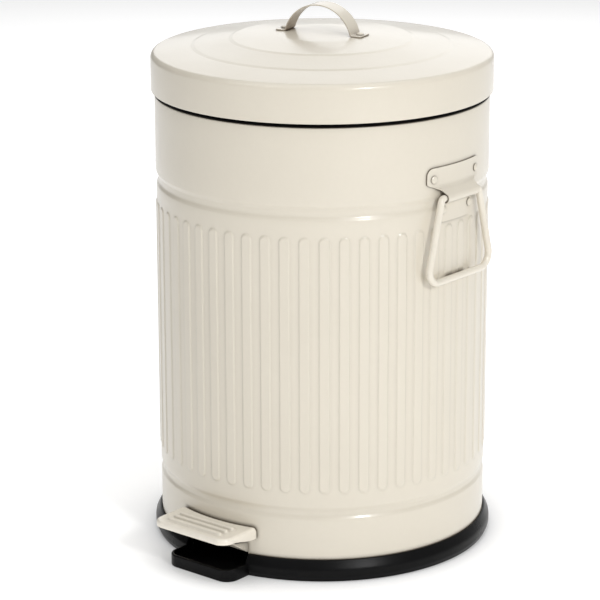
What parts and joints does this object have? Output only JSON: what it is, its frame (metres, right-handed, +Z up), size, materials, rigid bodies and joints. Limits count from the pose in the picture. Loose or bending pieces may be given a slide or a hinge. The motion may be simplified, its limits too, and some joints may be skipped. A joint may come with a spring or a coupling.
{
  "type": "step-on waste bin",
  "caption": "Round ribbed steel pedal bin with a domed hinged lid, strap lid handle, hanging side bails, inner bucket, moulded base and a rod linkage from foot pedal to lid.",
  "frame": {"origin": "on the body's upright axis, at floor level under the base", "axes": "+Z up, pedal towards -Y, lid hinge towards +Y, side bails towards +X and -X"},
  "size_m": [0.3102, 0.3383, 0.4762],
  "materials": {
    "cream_enamel": "satin cream enamel on pressed sheet steel",
    "cream_wire": "satin cream enamel on steel wire",
    "black_moulding": "black moulded plastic, low sheen",
    "bucket_grey": "dark grey moulded plastic",
    "zinc_plate": "zinc-plated steel"
  },
  "bodies": {
    "root": {"body_shell": "cream_enamel", "base_pan": "black_moulding", "rim_ring": "black_moulding", "inner_bucket": "bucket_grey", "bucket_bail": "zinc_plate", "hinge_bracket": "cream_enamel", "hinge_pin": "zinc_plate", "pedal_pivot_pin": "zinc_plate", "hinge_rivet_1": "cream_enamel", "hinge_rivet_2": "cream_enamel", "handle_bracket_right": "cream_enamel", "handle_bracket_left": "cream_enamel", "handle_rivet_right_1": "cream_enamel", "handle_rivet_right_2": "cream_enamel", "handle_rivet_right_3": "cream_enamel", "handle_rivet_right_4": "cream_enamel", "handle_rivet_left_1": "cream_enamel", "handle_rivet_left_2": "cream_enamel", "handle_rivet_left_3": "cream_enamel", "handle_rivet_left_4": "cream_enamel"},
    "lid": {"lid_shell": "cream_enamel", "lid_arm": "zinc_plate", "lid_strap": "cream_enamel", "strap_rivet_1": "cream_enamel", "strap_rivet_2": "cream_enamel", "rod_clip": "zinc_plate"},
    "rod": {"push_rod": "zinc_plate"},
    "pedal": {"pedal_lever": "cream_enamel", "pedal_pad": "cream_enamel"},
    "bail_right": {"handle_bail_right": "cream_wire"},
    "bail_left": {"handle_bail_left": "cream_wire"}
  },
  "joints": [
    {"name": "lid_hinge", "type": "hinge", "parent": "root", "child": "lid", "pos_m": [0, 0.1508, 0.396], "axis": [-1, 0, 0], "range_deg": [0, 80]},
    {"name": "pedal_pivot", "type": "hinge", "parent": "root", "child": "pedal", "pos_m": [0, -0.02, 0.0155], "axis": [1, 0, 0], "range_deg": [0, 6.5]},
    {"name": "rod_hook", "type": "hinge", "parent": "lid", "child": "rod", "pos_m": [0, 0.14051, 0.38737], "axis": [-1, 0, 0], "range_deg": [-80, 0]},
    {"name": "bail_swing_right", "type": "hinge", "parent": "root", "child": "bail_right", "pos_m": [0.1507, 0, 0.331], "axis": [0, -1, 0], "range_deg": [0, 170]},
    {"name": "bail_swing_left", "type": "hinge", "parent": "root", "child": "bail_left", "pos_m": [-0.1507, 0, 0.331], "axis": [0, 1, 0], "range_deg": [0, 170]}
  ],
  "couplings": [
    {"joint": "pedal_pivot", "follows": "lid_hinge", "ratio": 0.08125},
    {"joint": "rod_hook", "follows": "lid_hinge", "ratio": -1}
  ]
}
